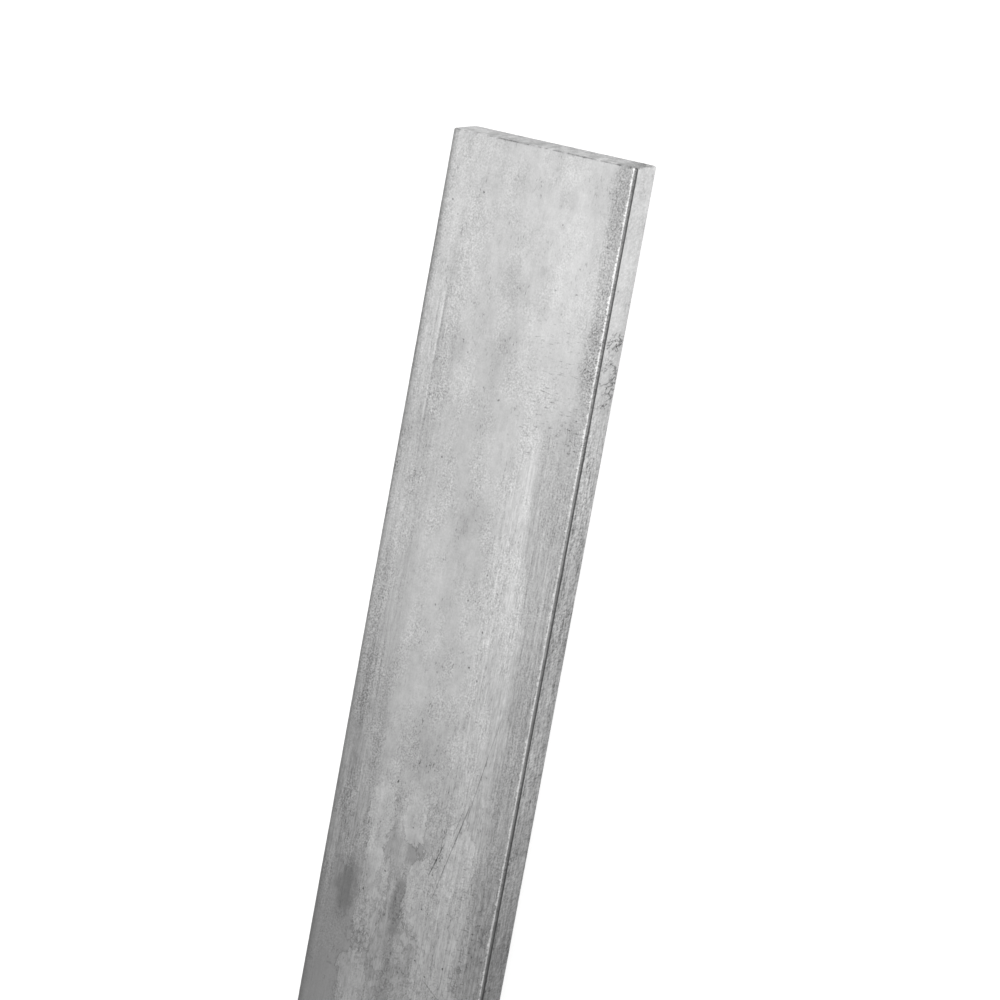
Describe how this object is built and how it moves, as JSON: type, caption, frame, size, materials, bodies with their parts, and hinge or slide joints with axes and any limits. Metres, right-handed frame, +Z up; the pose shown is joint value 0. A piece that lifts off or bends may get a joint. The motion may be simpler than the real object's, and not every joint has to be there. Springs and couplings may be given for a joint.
{
  "type": "metal flat bar",
  "caption": "Length of hot-rolled mild steel flat bar stock with a rectangular section, small rolled corner radii and square sawn ends.",
  "frame": {"origin": "middle of the broad face that the bar lies on", "axes": "+X along the bar's length, +Y across its width, +Z up through its thickness"},
  "size_m": [1, 0.05, 0.015],
  "materials": {
    "mill_steel": "dull grey mill finish, mottled, with light roll marks and fine pits"
  },
  "bodies": {
    "root": {"flat_bar": "mill_steel"}
  },
  "joints": []
}
